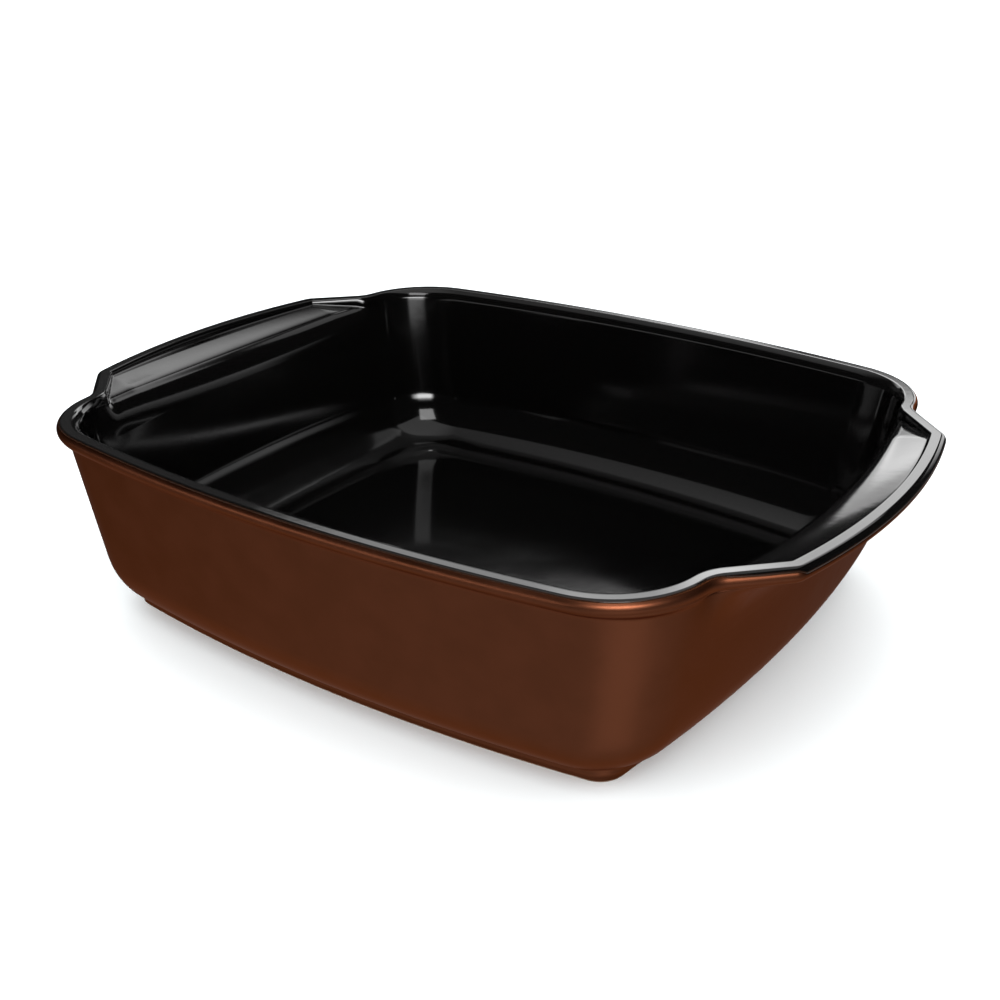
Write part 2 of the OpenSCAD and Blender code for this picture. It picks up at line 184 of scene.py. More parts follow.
def angle_to(point, centre):
    """The direction of a point from a centre, in degrees."""
    return math.degrees(math.atan2(point[1] - centre[1], point[0] - centre[0]))


def corner_centre(length, width, radius, side_r, end_r):
    """Centre of the corner arc that runs smoothly into both bows of an outline."""
    a = np.array([0, width - side_r])
    b = np.array([length - end_r, 0])
    reach_a = side_r - radius
    reach_b = end_r - radius
    gap = np.linalg.norm(b - a)
    along = (b - a) / gap
    s = (reach_a**2 - reach_b**2 + gap**2) / (2 * gap)
    h = math.sqrt(reach_a**2 - s**2)
    return a + along * s + h * np.array([along[1], -along[0]])


# The rim's corner, notch, slanted end, tip and long handle edge
SIDE_CENTRE = np.array([0, HALF_W - SIDE_BOW_R])
RIM_CENTRE = corner_centre(HALF_L, HALF_W, CORNER_R, SIDE_BOW_R, END_BOW_R)
SIDE_ANGLE = angle_to(RIM_CENTRE, SIDE_CENTRE)
NOTCH_CENTRE = RIM_CENTRE + (CORNER_R + NOTCH_R) * unit(NOTCH_ANGLE)
NOTCH_END = NOTCH_CENTRE + NOTCH_R * unit(270 - HANDLE_SLANT)
HANDLE_CENTRE = np.array([HALF_L + HANDLE_REACH - HANDLE_BOW_R, 0])
SLANT_DIR = unit(-HANDLE_SLANT)
TIP_FROM = NOTCH_END - TIP_R * unit(90 - HANDLE_SLANT) - HANDLE_CENTRE
TIP_ALONG = TIP_FROM @ SLANT_DIR
TIP_RUN = -TIP_ALONG + math.sqrt(TIP_ALONG**2 - TIP_FROM @ TIP_FROM + (HANDLE_BOW_R - TIP_R) ** 2)
TIP_CENTRE = HANDLE_CENTRE + TIP_FROM + TIP_RUN * SLANT_DIR
HANDLE_ANGLE = angle_to(TIP_CENTRE, HANDLE_CENTRE)


def rim_quarter(out):
    """A quarter of the rim's outline, moved outwards."""
    notch = arc(NOTCH_CENTRE, NOTCH_R - out, 180 + NOTCH_ANGLE, 270 - HANDLE_SLANT, NOTCH_STEPS, 1)
    tip = arc(TIP_CENTRE, TIP_R + out, 90 - HANDLE_SLANT, HANDLE_ANGLE, TIP_STEPS)
    shares = np.arange(1, SLANT_STEPS)[:, None] / SLANT_STEPS
    slant = notch[-1] + (tip[0] - notch[-1]) * shares
    return np.concatenate([
        arc(SIDE_CENTRE, SIDE_BOW_R + out, 90, SIDE_ANGLE, LONG_STEPS),
        arc(RIM_CENTRE, CORNER_R + out, SIDE_ANGLE, NOTCH_ANGLE, CORNER_STEPS, 1),
        notch,
        slant,
        tip,
        arc(HANDLE_CENTRE, HANDLE_BOW_R + out, HANDLE_ANGLE, 0, HANDLE_STEPS, 1),
    ])


# The rim's own outline, its outward directions, and the shares of the end's points
SIDE_COUNT = LONG_STEPS + CORNER_STEPS + 1
RIM_LINE = rim_quarter(0)
QUARTER_COUNT = len(RIM_LINE)
END_SHARES = RIM_LINE[SIDE_COUNT:, 1] / RIM_LINE[SIDE_COUNT - 1, 1]
OUT_DIR = rim_quarter(1) - RIM_LINE

# How far along the outline each point lies: the corner counts from -1 to 0, the notch from
# 0 to 1, the slanted end from 1 to 2 and the tip from 2 to 3
CORNER_LAST = SIDE_COUNT - 1
NOTCH_LAST = CORNER_LAST + NOTCH_STEPS
SLANT_LAST = NOTCH_LAST + SLANT_STEPS
WAY = np.interp(
    np.arange(QUARTER_COUNT),
    [CORNER_LAST - CORNER_STEPS, CORNER_LAST, NOTCH_LAST, SLANT_LAST, SLANT_LAST + TIP_STEPS],
    [-1, 0, 1, 2, 3])


def smooth(shares):
    """Shares eased at both ends."""
    shares = np.clip(shares, 0, 1)
    return shares * shares * (3 - 2 * shares)


def shares_between(ways):
    """A smooth rise from 0 to 1 between two places along the outline."""
    return smooth((WAY - ways[0]) / (ways[1] - ways[0]))[:, None]


# How much of the handle's shape each point takes, of the handle's underside, and of the
# parting lines at the slanted end and at the handle
HANDLE_SHARES = np.clip(WAY, 0, 1)[:, None]
UNDERSIDE_SHARES = shares_between(UNDERSIDE_WAYS)
SLANT_SHARES = shares_between(SLANT_WAYS)
TIP_SHARES = shares_between(TIP_WAYS)


def plain_quarter(length, width, radius, side_r, end_r):
    """A quarter of a plain outline with both its bows, with points that match the rim's."""
    centre = corner_centre(length, width, radius, side_r, end_r)
    a = np.array([0, width - side_r])
    b = np.array([length - end_r, 0])
    a_side = angle_to(centre, a)
    a_end = angle_to(centre, b)
    y = (centre + radius * unit(a_end))[1] * END_SHARES
    return np.concatenate([
        arc(a, side_r, 90, a_side, LONG_STEPS),
        arc(centre, radius, a_side, a_end, CORNER_STEPS, 1),
        np.stack([b[0] + np.sqrt(end_r**2 - y**2), y], 1),
    ])


def wall_quarter(depth, inset=0, rounder=0):
    """The outer wall's outline at a depth under the rim, moved inwards by inset."""
    t = (depth - WALL_TOP_DEPTH) / (BASE_DEPTH - WALL_TOP_DEPTH)
    length = HALF_L - END_OVERHANG - END_DRAFT * t
    width = HALF_W - SIDE_OVERHANG - SIDE_DRAFT * t
    radius = WALL_CORNER_R + (BASE_CORNER_R - WALL_CORNER_R) * t
    end_r = END_BOW_R + (BASE_END_BOW_R - END_BOW_R) * t
    return plain_quarter(length - inset, width - inset, radius + rounder - inset,
                         SIDE_BOW_R - inset, end_r - inset)


def inner_wall_quarter(depth, inset=0):
    """The inner wall's outline, whose corners are rounder than the outer wall's."""
    return wall_quarter(depth, WALL_T + inset, INNER_ROUNDER)


def foot_quarter(inset):
    """The foot's outline, moved inwards by inset."""
    length = HALF_L - END_OVERHANG - END_DRAFT - FOOT_INSET_END - inset
    width = HALF_W - SIDE_OVERHANG - SIDE_DRAFT - FOOT_INSET_SIDE - inset
    return plain_quarter(length, width, FOOT_CORNER_R - inset,
                         SIDE_BOW_R - inset, BASE_END_BOW_R - inset)


# How far the floor lies in from the outer wall, and how far down the wall it is, as a share
FLOOR_IN = WALL_T + INNER_FILLET_R
FLOOR_SHARE = (FLOOR_DEPTH - WALL_TOP_DEPTH) / (BASE_DEPTH - WALL_TOP_DEPTH)


def floor_quarter(inset):
    """The outline of the sunk floor, moved inwards by inset."""
    length = HALF_L - END_OVERHANG - END_DRAFT * FLOOR_SHARE - FLOOR_IN - FLOOR_MARGIN_END - inset
    width = HALF_W - SIDE_OVERHANG - SIDE_DRAFT * FLOOR_SHARE - FLOOR_IN - FLOOR_MARGIN_SIDE - inset
    return plain_quarter(length, width, FLOOR_CORNER_R - inset,
                         SIDE_BOW_R - inset, BASE_END_BOW_R - inset)


def at_height(quarter, z):
    """A quarter with heights; z is one height or one for each point."""
    return np.column_stack([quarter, np.broadcast_to(z, len(quarter))])


def whole(quarter):
    """A whole ring from its quarter, clockwise from the middle of the back."""
    back = quarter[-2::-1]
    return np.concatenate([
        quarter,
        back * [1, -1, 1],
        quarter[1:] * [-1, -1, 1],
        back[:-1] * [-1, 1, 1],
    ])


def place(share, out, depth):
    """At a depth, a share of the way from the rim's outline, moved out, to the wall's."""
    line = rim_quarter(out) * (1 - share) + wall_quarter(depth) * share
    return at_height(line, HEIGHT - depth)


def blended(side, handle):
    """A whole ring from its shape along the sides and its shape at the handles."""
    return whole(side * (1 - HANDLE_SHARES) + handle * HANDLE_SHARES)


def bead_place(angle):
    """On the round bead outside the flat band; the angle is its normal's, from upwards."""
    a = np.radians(angle) * np.ones((QUARTER_COUNT, 1))
    out = BEAD_OUT - BEAD_R * (1 - np.sin(a))
    depth = BEAD_R * (math.cos(math.radians(BEAD_TOP_ANGLE)) - np.cos(a))
    return at_height(RIM_LINE + OUT_DIR * out, HEIGHT - depth[:, 0])


# The scoop's depth follows the distance from the handle's long edge to the end wall
STEP_LINE = rim_quarter(-FLAT_W - STEP_W)
HANDLE_TIP_Y = HANDLE_BOW_R * math.sin(math.radians(HANDLE_ANGLE))
SCOOP_END_LINE = inner_wall_quarter(SCOOP_DEPTH)
SCOOP_END_SHARE = (SCOOP_DEPTH - WALL_TOP_DEPTH) / (BASE_DEPTH - WALL_TOP_DEPTH)
SCOOP_END_X = HALF_L - END_OVERHANG - END_DRAFT * SCOOP_END_SHARE - WALL_T
SCOOP_END_R = END_BOW_R + (BASE_END_BOW_R - END_BOW_R) * SCOOP_END_SHARE - WALL_T


def scoop_depth_at(points):
    """The scoop's depth under the rim: a sloping shelf that bends down into the wall."""
    x, y = points[:, 0], points[:, 1]
    step_x = HANDLE_CENTRE[0] + np.sqrt((HANDLE_BOW_R - FLAT_W - STEP_W) ** 2 - y**2)
    wall_x = SCOOP_END_X - SCOOP_END_R + np.sqrt(SCOOP_END_R**2 - y**2)
    reach = step_x - wall_x
    way = np.clip(step_x - x, 0, reach)
    near = np.minimum(way, STEP_FOOT_W)
    foot = STEP_FOOT_SLOPE * (near - near**2 / (2 * STEP_FOOT_W))
    dip = SCOOP_DIP * np.maximum(1 - (y / HANDLE_TIP_Y) ** 2, 0)
    shelf = STEP_H + dip + foot + SCOOP_SLOPE * way
    shelf_end = STEP_H + dip + STEP_FOOT_SLOPE * STEP_FOOT_W / 2 + SCOOP_SLOPE * reach
    return shelf + (SCOOP_DEPTH - shelf_end) * (way / reach) ** SCOOP_BEND


STEP_FOOT_DEPTH = scoop_depth_at(STEP_LINE)


def step_place(angle):
    """On the rounded step between a handle's flat band and its scoop."""
    a = math.radians(angle)
    line = rim_quarter(-FLAT_W - STEP_W * math.sin(a))
    return at_height(line, HEIGHT - (1 - math.cos(a)) * STEP_FOOT_DEPTH)


def shelf_place(along):
    """On the scoop, at a share of the way from the step to the end wall."""
    line = STEP_LINE * (1 - along) + SCOOP_END_LINE * along
    return at_height(line, HEIGHT - scoop_depth_at(line))


def bezier(t, a, b, c, d):
    """The value at t on a cubic curve with four control values."""
    return a * (1 - t) ** 3 + 3 * b * t * (1 - t) ** 2 + 3 * c * t**2 * (1 - t) + d * t**3


def bevel_place(share):
    """On the bevel from the flat band to the inner wall: a shallow slope, then a quick turn."""
    across = bezier(share, *BEVEL_ACROSS)
    down = bezier(share, *BEVEL_DOWN)
    line = rim_quarter(-FLAT_W) * (1 - across) + inner_wall_quarter(INNER_EDGE_H) * across
    return at_height(line, HEIGHT - INNER_EDGE_H * down)


def curve_through(rings, steps):
    """Rings on a smooth curve through the given ones, with so many steps between two."""
    padded = np.concatenate([[2 * rings[0] - rings[1]], rings, [2 * rings[-1] - rings[-2]]])
    made = [rings[0]]
    for before, start, end, after in zip(padded, padded[1:], padded[2:], padded[3:]):
        for t in np.arange(1, steps + 1) / steps:
            made.append(
                0.5 * ((2 * start) + (end - before) * t
                       + (2 * before - 5 * start + 4 * end - after) * t**2
                       + (3 * start - before - 3 * end + after) * t**3))
    return made


def cove(start, corner, end, steps):
    """Rings that round off an inner corner, from one ring to another."""
    return [
        start * (1 - t) ** 2 + corner * 2 * t * (1 - t) + end * t**2
        for t in np.arange(1, steps) / steps
    ]


def inner_rings():
    """The inside, from the flat of the floor up to the outer edge of the flat band."""
    flat = floor_quarter(FLAT_INSET)
    rings = [whole(at_height(flat * share, FLOOR_Z - FLOOR_DISH * (1 - share**2)))
             for share in np.linspace(0, 1, FLOOR_RINGS + 1)[1:]]
    for t in np.linspace(1, 0, FLOOR_STEP_RINGS + 1):
        z = FLOOR_Z + FLOOR_STEP_H * (1 + math.cos(math.pi * t)) / 2
        rings.append(whole(at_height(floor_quarter(FLOOR_STEP_W * t), z)))
    edge_z = FLOOR_Z + FLOOR_STEP_H
    start = at_height(floor_quarter(0), edge_z)
    end = at_height(inner_wall_quarter(FLOOR_DEPTH, INNER_FILLET_R), edge_z)
    rings += [whole(start + (end - start) * t) for t in FLOOR_EDGE_SHARES]
    for a in np.radians(np.linspace(0, 90, INNER_FILLET_RINGS + 1)[1:]):
        depth = FLOOR_DEPTH - FLOOR_STEP_H - INNER_FILLET_R * (1 - math.cos(a))
        line = inner_wall_quarter(depth, INNER_FILLET_R * (1 - math.sin(a)))
        rings.append(whole(at_height(line, HEIGHT - depth)))
    fillet_top = FLOOR_DEPTH - FLOOR_STEP_H - INNER_FILLET_R
    for depth in np.linspace(fillet_top, SCOOP_DEPTH, INNER_WALL_RINGS + 1)[1:-1]:
        rings.append(whole(at_height(inner_wall_quarter(depth), HEIGHT - depth)))
    for along in 1 - np.linspace(0, 1, SHELF_RINGS + 1)[:-1] ** SHELF_CROWDING:
        depth = INNER_EDGE_H + (SCOOP_DEPTH - INNER_EDGE_H) * along
        wall = at_height(inner_wall_quarter(depth), HEIGHT - depth)
        rings.append(blended(wall, shelf_place(along)))
    shelf_end = rings.pop()
    step = [blended(bevel_place(share), step_place(90 * share))
            for share in np.linspace(1, 0, BEVEL_RINGS + 1)]
    rings += [shelf_end] + cove(shelf_end, step[0], step[2], SHELF_COVE_RINGS) + step[2:]
    rings += [whole(at_height(rim_quarter(-FLAT_W * share), HEIGHT)) for share in FLAT_SHARES]
    return rings


# The angle on the bead at which the two glazes meet, for each point of a quarter
PARTING = (PARTING_ANGLE + (SLANT_PARTING_ANGLE - PARTING_ANGLE) * SLANT_SHARES
           + (HANDLE_PARTING_ANGLE - SLANT_PARTING_ANGLE) * TIP_SHARES)


def black_edge_rings():
    """The black outside of the rim, down to the line where the two glazes meet."""
    angles = [BEAD_TOP_ANGLE + (PARTING - BEAD_TOP_ANGLE) * t
              for t in np.linspace(0, 1, BLACK_EDGE_RINGS + 1)[1:]]
    return [whole(at_height(RIM_LINE, HEIGHT))] + [whole(bead_place(a)) for a in angles]


def bead_rings():
    """The copper side of the bead and the handles' underside, down to the plain wall."""
    bead = [whole(bead_place(PARTING + (BEAD_END_ANGLE - PARTING) * t))
            for t in np.linspace(0, 1, BEAD_RINGS + 1)]
    top, end = math.radians(BEAD_TOP_ANGLE), math.radians(BEAD_END_ANGLE)
    low = BEAD_R * (math.cos(top) - math.cos(end))
    fall = WALL_TOP_DEPTH - low
    under = UNDERSIDE_DEPTH - low
    side = [place(share, BEAD_OUT, low + fall * down) for share, down in SIDE_TURNS]
    side += [place(1, 0, depth) for depth in (WALL_TOP_DEPTH, *SIDE_DEPTHS, UNDERSIDE_DEPTH)]
    handle = [place(share, out, low + under * down) for share, out, down in HANDLE_TURNS]
    handle.append(place(1, 0, UNDERSIDE_DEPTH))
    both = [whole(s * (1 - UNDERSIDE_SHARES) + h * UNDERSIDE_SHARES) for s, h in zip(side, handle)]
    return bead[:-1] + curve_through([bead[-1]] + both, UNDER_BEAD_STEPS)


def fillet_end_angle():
    """The angle on the outer fillet at which it meets the foot's side."""
    base = wall_quarter(BASE_DEPTH)
    inward = (base - wall_quarter(BASE_DEPTH, FOOT_W)) / FOOT_W
    inset = np.sum((base - foot_quarter(0)) * inward, axis=1)
    reach = np.clip(1 - inset / OUTER_FILLET_W, 0, 1)
    return np.degrees(np.arcsin(reach))


def outer_rings():
    """The outside from the plain wall down to the glaze's lower edge on the foot."""
    fillet_top = BASE_DEPTH - OUTER_FILLET_H
    rings = [whole(at_height(wall_quarter(depth), HEIGHT - depth))
             for depth in np.linspace(UNDERSIDE_DEPTH, fillet_top, OUTER_WALL_RINGS + 1)[1:]]
    end_angle = fillet_end_angle()
    base = wall_quarter(BASE_DEPTH)
    top = wall_quarter(WALL_TOP_DEPTH)
    inward = (base - wall_quarter(BASE_DEPTH, FOOT_W)) / FOOT_W
    for t in np.linspace(0, 1, OUTER_FILLET_RINGS + 1)[1:]:
        a = np.radians(90 + (end_angle - 90) * t)
        height = FOOT_H + OUTER_FILLET_H * (1 - np.cos(a))
        lean = (height - FOOT_H) / (BASE_DEPTH - WALL_TOP_DEPTH)
        inset = OUTER_FILLET_W * (1 - np.sin(a))
        line = base + (top - base) * lean[:, None] - inward * inset[:, None]
        rings.append(whole(at_height(line, height)))
    corner_z = rings.pop()[:, 2]
    end_z = corner_z - (corner_z - GLAZE_LINE_H) * FOOT_ROUND_SHARE
    foot_line = whole(at_height(foot_quarter(0), 0))
    corner = np.column_stack([foot_line[:, :2], corner_z])
    below = np.column_stack([foot_line[:, :2], end_z])
    rings += cove(rings[-1], corner, below, FOOT_COVE_RINGS) + [below]
    rings.append(foot_line + [0, 0, GLAZE_LINE_H])
    return rings


def bare_rings():
    """The bare foot: its rounded bottom edges and the side of the recess."""
    rings = []
    for a in np.radians(np.linspace(0, 90, FOOT_EDGE_RINGS + 1)):
        inset = GLAZE_T + FOOT_EDGE_R * (1 - math.cos(a))
        rings.append(whole(at_height(foot_quarter(inset), FOOT_EDGE_R * (1 - math.sin(a)))))
    for a in np.radians(np.linspace(90, 0, FOOT_EDGE_RINGS + 1)):
        inset = FOOT_W - FOOT_EDGE_R * (1 - math.cos(a))
        rings.append(whole(at_height(foot_quarter(inset), FOOT_EDGE_R * (1 - math.sin(a)))))
    rings.append(whole(at_height(foot_quarter(FOOT_W), RECESS_H)))
    return rings


def surface_normals(rings):
    """The outward normals of the surface that a list of rings spans."""
    along = np.roll(rings, -1, axis=1) - np.roll(rings, 1, axis=1)
    across = np.empty_like(rings)
    across[1:-1] = rings[2:] - rings[:-2]
    across[0] = rings[1] - rings[0]
    across[-1] = rings[-1] - rings[-2]
    normals = np.cross(along, across)
    return normals / np.linalg.norm(normals, axis=2, keepdims=True)


def strips(count, points):
    """Quads between rings that follow each other in the point list."""
    k = np.arange(count - 1)[:, None] * points
    i = np.arange(points)[None, :]
    j = (i + 1) % points
    return np.stack([k + i, k + j, k + points + j, k + points + i], -1).reshape(-1, 4)


def fan(centre, first, points, upwards=True):
    """Triangles from a middle point to the ring that starts at the first point."""
    i = np.arange(points)
    j = (i + 1) % points
    triangles = np.stack([np.full(points, centre), first + j, first + i], -1)
    return triangles if upwards else triangles[:, ::-1]


def make_piece(name, points, face_groups, masks=None):
    """A smooth-shaded mesh from points in millimetres; masks are values for each point."""
    faces = [face for group in face_groups for face in group.tolist()]
    mesh = bpy.data.meshes.new(name)
    mesh.from_pydata((np.asarray(points) * MM).tolist(), [], faces)
    mesh.polygons.foreach_set("use_smooth", [True] * len(mesh.polygons))
    for mask, values in (masks or {}).items():
        attribute = mesh.attributes.new(mask, "FLOAT", "POINT")
        attribute.data.foreach_set("value", np.asarray(values, np.float32))
    mesh.update()
    piece = bpy.data.objects.new(name, mesh)
    bpy.context.scene.collection.objects.link(piece)
    return piece


def new_tree(name, sizes):
    """A node tree with one mesh in, named sizes, and one mesh out."""
    tree = bpy.data.node_groups.new(name, "GeometryNodeTree")
    tree.interface.new_socket("Geometry", in_out="INPUT", socket_type="NodeSocketGeometry")
    for size in sizes:
        tree.interface.new_socket(size, in_out="INPUT", socket_type="NodeSocketFloat")
    tree.interface.new_socket("Geometry", in_out="OUTPUT", socket_type="NodeSocketGeometry")
    return tree, tree.nodes, tree.links, tree.nodes.new("NodeGroupInput")


def close_and_dress(nodes, links, given, raised, material):
    """Joins a raised face with its own back, closes the seam and gives it its material."""
    back = nodes.new("GeometryNodeFlipFaces")
    both = nodes.new("GeometryNodeJoinGeometry")
    merge = nodes.new("GeometryNodeMergeByDistance")
    merge.inputs["Distance"].default_value = SEAM_REACH * MM
    realize = nodes.new("GeometryNodeRealizeInstances")
    dress = nodes.new("GeometryNodeSetMaterial")
    dress.inputs["Material"].default_value = material
    result = nodes.new("NodeGroupOutput")
    links.new(given.outputs["Geometry"], back.inputs["Mesh"])
    links.new(raised, both.inputs["Geometry"])
    links.new(back.outputs["Mesh"], both.inputs["Geometry"])
    links.new(both.outputs["Geometry"], merge.inputs["Geometry"])
    links.new(merge.outputs["Geometry"], realize.inputs["Geometry"])
    links.new(realize.outputs["Geometry"], dress.inputs["Geometry"])
    links.new(dress.outputs["Geometry"], result.inputs["Geometry"])


def bake(piece, tree, sizes):
    """Runs a tree on a piece with the given sizes and keeps the mesh that it makes."""
    modifier = piece.modifiers.new(tree.name, "NODES")
    modifier.node_group = tree
    for socket in tree.interface.items_tree:
        if socket.name in sizes:
            modifier[socket.identifier] = sizes[socket.name]
    graph = bpy.context.evaluated_depsgraph_get()
    mesh = bpy.data.meshes.new_from_object(piece.evaluated_get(graph))
    piece.modifiers.remove(modifier)
    piece.data = mesh


def skin_tree(material):
    """Raises the clay's surface along the attribute "outward" into a closed skin of glaze."""
    tree, nodes, links, given = new_tree("glaze_skin", ("Thickness",))
    extrude = nodes.new("GeometryNodeExtrudeMesh")
    extrude.inputs["Individual"].default_value = False
    extrude.inputs["Offset Scale"].default_value = 0
    outward = nodes.new("GeometryNodeInputNamedAttribute")
    outward.data_type = "FLOAT_VECTOR"
    outward.inputs["Name"].default_value = "outward"
    scale = nodes.new("ShaderNodeVectorMath")
    scale.operation = "SCALE"
    raise_face = nodes.new("GeometryNodeSetPosition")
    links.new(given.outputs["Geometry"], extrude.inputs["Mesh"])
    links.new(outward.outputs["Attribute"], scale.inputs[0])
    links.new(given.outputs["Thickness"], scale.inputs["Scale"])
    links.new(extrude.outputs["Mesh"], raise_face.inputs["Geometry"])
    links.new(extrude.outputs["Top"], raise_face.inputs["Selection"])
    links.new(scale.outputs["Vector"], raise_face.inputs["Offset"])
    close_and_dress(nodes, links, given, raise_face.outputs["Geometry"], material)
    return tree


def glaze_skin(name, clay, normals, from_parting, material, closed_middle):
    """A skin of glaze on the clay's surface; from_parting is in millimetres."""
    count, points = clay.shape[:2]
    rows = [clay.reshape(-1, 3)]
    outward = [normals.reshape(-1, 3)]
    way = [from_parting.ravel()]
    groups = [strips(count, points)]
    if closed_middle:
        rows.append(np.array([[0, 0, FLOOR_Z - FLOOR_DISH - GLAZE_T]]))
        outward.append(np.array([[0, 0, 1]]))
        way.append(np.zeros(1))
        groups.append(fan(count * points, 0, points))
    skin = make_piece(name, np.concatenate(rows), groups, {"from_parting": np.concatenate(way) * MM})
    attribute = skin.data.attributes.new("outward", "FLOAT_VECTOR", "POINT")
    attribute.data.foreach_set("vector", np.concatenate(outward).astype(np.float32).ravel())
    bake(skin, skin_tree(material), {"Thickness": GLAZE_T * MM})
    skin.data.attributes.remove(skin.data.attributes["outward"])
    return skin


def build_dish(black, copper):
    """The clay and its two big glazes, from one list of rings over the whole surface."""
    inside = inner_rings()
    black_edge = black_edge_rings()
    bead = bead_rings()
    glazed = np.array(inside + black_edge + bead[1:] + outer_rings())
    parting = len(inside) + len(black_edge) - 1
    normals = surface_normals(glazed)
    normals[0] = [0, 0, 1]
    clay = glazed - GLAZE_T * normals
    steps = np.linalg.norm(np.diff(glazed, axis=0), axis=2)
    way = np.concatenate([np.zeros((1, glazed.shape[1])), np.cumsum(steps, axis=0)])
    from_parting = way - way[parting]
    inner = glaze_skin("inner_glaze_lining", clay[:parting + 1], normals[:parting + 1],
                       from_parting[:parting + 1], black, closed_middle=True)
    outer = glaze_skin("outer_glaze_coat", clay[parting:], normals[parting:],
                       from_parting[parting:], copper, closed_middle=False)
    body = clay_body(np.concatenate([clay, np.array(bare_rings())]))
    return inner, outer, body


def clay_body(rings):
    """The clay under all the glazes, closed in the middle of the floor and of the recess."""
    count, points = rings.shape[:2]
    middles = [[0, 0, FLOOR_Z - FLOOR_DISH - GLAZE_T], [0, 0, RECESS_H]]
    rows = np.concatenate([rings.reshape(-1, 3), middles])
    total = count * points
    groups = [
        strips(count, points),
        fan(total, 0, points),
        fan(total + 1, total - points, points, upwards=False),
    ]
    return make_piece("stoneware", rows, groups)


def patch_tree(material):
    """Turns a flat outline into a closed glaze patch with a slanted edge."""
    tree, nodes, links, given = new_tree("glaze_patch", ("Side Height", "Edge Height", "Edge Scale"))
    side = nodes.new("GeometryNodeExtrudeMesh")
    edge = nodes.new("GeometryNodeExtrudeMesh")
    for extrude, height in ((side, "Side Height"), (edge, "Edge Height")):
        extrude.inputs["Individual"].default_value = False
        links.new(given.outputs[height], extrude.inputs["Offset Scale"])
    links.new(given.outputs["Geometry"], side.inputs["Mesh"])
    links.new(side.outputs["Mesh"], edge.inputs["Mesh"])
    links.new(side.outputs["Top"], edge.inputs["Selection"])
    shrink = nodes.new("GeometryNodeScaleElements")
    links.new(edge.outputs["Mesh"], shrink.inputs["Geometry"])
    links.new(edge.outputs["Top"], shrink.inputs["Selection"])
    links.new(given.outputs["Edge Scale"], shrink.inputs["Scale"])
    close_and_dress(nodes, links, given, shrink.outputs["Geometry"], material)
    return tree


def base_patch(material):
    """The glaze inside the foot ring, from its outline, which faces down."""
    line = foot_quarter(FOOT_W)
    half_width = line[0, 1]
    outline = whole(at_height(line, RECESS_H))
    patch = make_piece("base_glaze_patch", outline, [np.arange(len(outline))[None, :]])
    bake(patch, patch_tree(material), {
        "Side Height": PATCH_SIDE_H * MM,
        "Edge Height": (GLAZE_T - PATCH_SIDE_H) * MM,
        "Edge Scale": 1 - PATCH_EDGE_W / half_width,
    })
    patch.data.polygons.foreach_set("use_smooth", [False] * len(patch.data.polygons))
    return patch


def new_material(name):
    """A material, its nodes and links, and its shader."""
    material = bpy.data.materials.new(name)
    material.use_nodes = True
    nodes = material.node_tree.nodes
    return material, nodes, material.node_tree.links, nodes["Principled BSDF"]


# Detail of the noise behind the waves and clouds, and the part of the clouds' values in use
WAVE_DETAIL = 2
CLOUD_DETAIL = 4
CLOUD_RANGE = (0.3, 0.7)


def surface_group():
    """Shared by the glazes and the clay: fine waves for the normal and soft clouds."""
    group = bpy.data.node_groups.new("fired_surface", "ShaderNodeTree")
    for name in ("Wave Scale", "Wave Height", "Cloud Scale"):
        group.interface.new_socket(name, in_out="INPUT", socket_type="NodeSocketFloat")
    group.interface.new_socket("Normal", in_out="OUTPUT", socket_type="NodeSocketVector")
    group.interface.new_socket("Cloud", in_out="OUTPUT", socket_type="NodeSocketFloat")
    nodes, links = group.nodes, group.links
    given = nodes.new("NodeGroupInput")
    result = nodes.new("NodeGroupOutput")
    place = nodes.new("ShaderNodeTexCoord")
    waves = nodes.new("ShaderNodeTexNoise")
    waves.inputs["Detail"].default_value = WAVE_DETAIL
    clouds = nodes.new("ShaderNodeTexNoise")
    clouds.inputs["Detail"].default_value = CLOUD_DETAIL
    bump = nodes.new("ShaderNodeBump")
    links.new(place.outputs["Object"], waves.inputs["Vector"])
    links.new(place.outputs["Object"], clouds.inputs["Vector"])
    links.new(given.outputs["Wave Scale"], waves.inputs["Scale"])
    links.new(given.outputs["Cloud Scale"], clouds.inputs["Scale"])
    links.new(given.outputs["Wave Height"], bump.inputs["Distance"])
    links.new(waves.outputs["Fac"], bump.inputs["Height"])
    links.new(bump.outputs["Normal"], result.inputs["Normal"])
    links.new(clouds.outputs["Fac"], result.inputs["Cloud"])
    return group


def speck_group():
    """Shared by the copper glaze and the clay: a mask of small round specks."""
    group = bpy.data.node_groups.new("specks", "ShaderNodeTree")
    for name in ("Scale", "Size"):
        group.interface.new_socket(name, in_out="INPUT", socket_type="NodeSocketFloat")
    group.interface.new_socket("Speck", in_out="OUTPUT", socket_type="NodeSocketFloat")
    nodes, links = group.nodes, group.links
    given = nodes.new("NodeGroupInput")
    result = nodes.new("NodeGroupOutput")
    place = nodes.new("ShaderNodeTexCoord")
    cells = nodes.new("ShaderNodeTexVoronoi")
    edge = nodes.new("ShaderNodeMapRange")
    edge.interpolation_type = "SMOOTHSTEP"
    edge.inputs["From Min"].default_value = 0
    edge.inputs["To Min"].default_value = 1
    edge.inputs["To Max"].default_value = 0
    links.new(place.outputs["Object"], cells.inputs["Vector"])
    links.new(given.outputs["Scale"], cells.inputs["Scale"])
    links.new(given.outputs["Size"], edge.inputs["From Max"])
    links.new(cells.outputs["Distance"], edge.inputs["Value"])
    links.new(edge.outputs["Result"], result.inputs["Speck"])
    return group


SURFACE = surface_group()
SPECKS = speck_group()


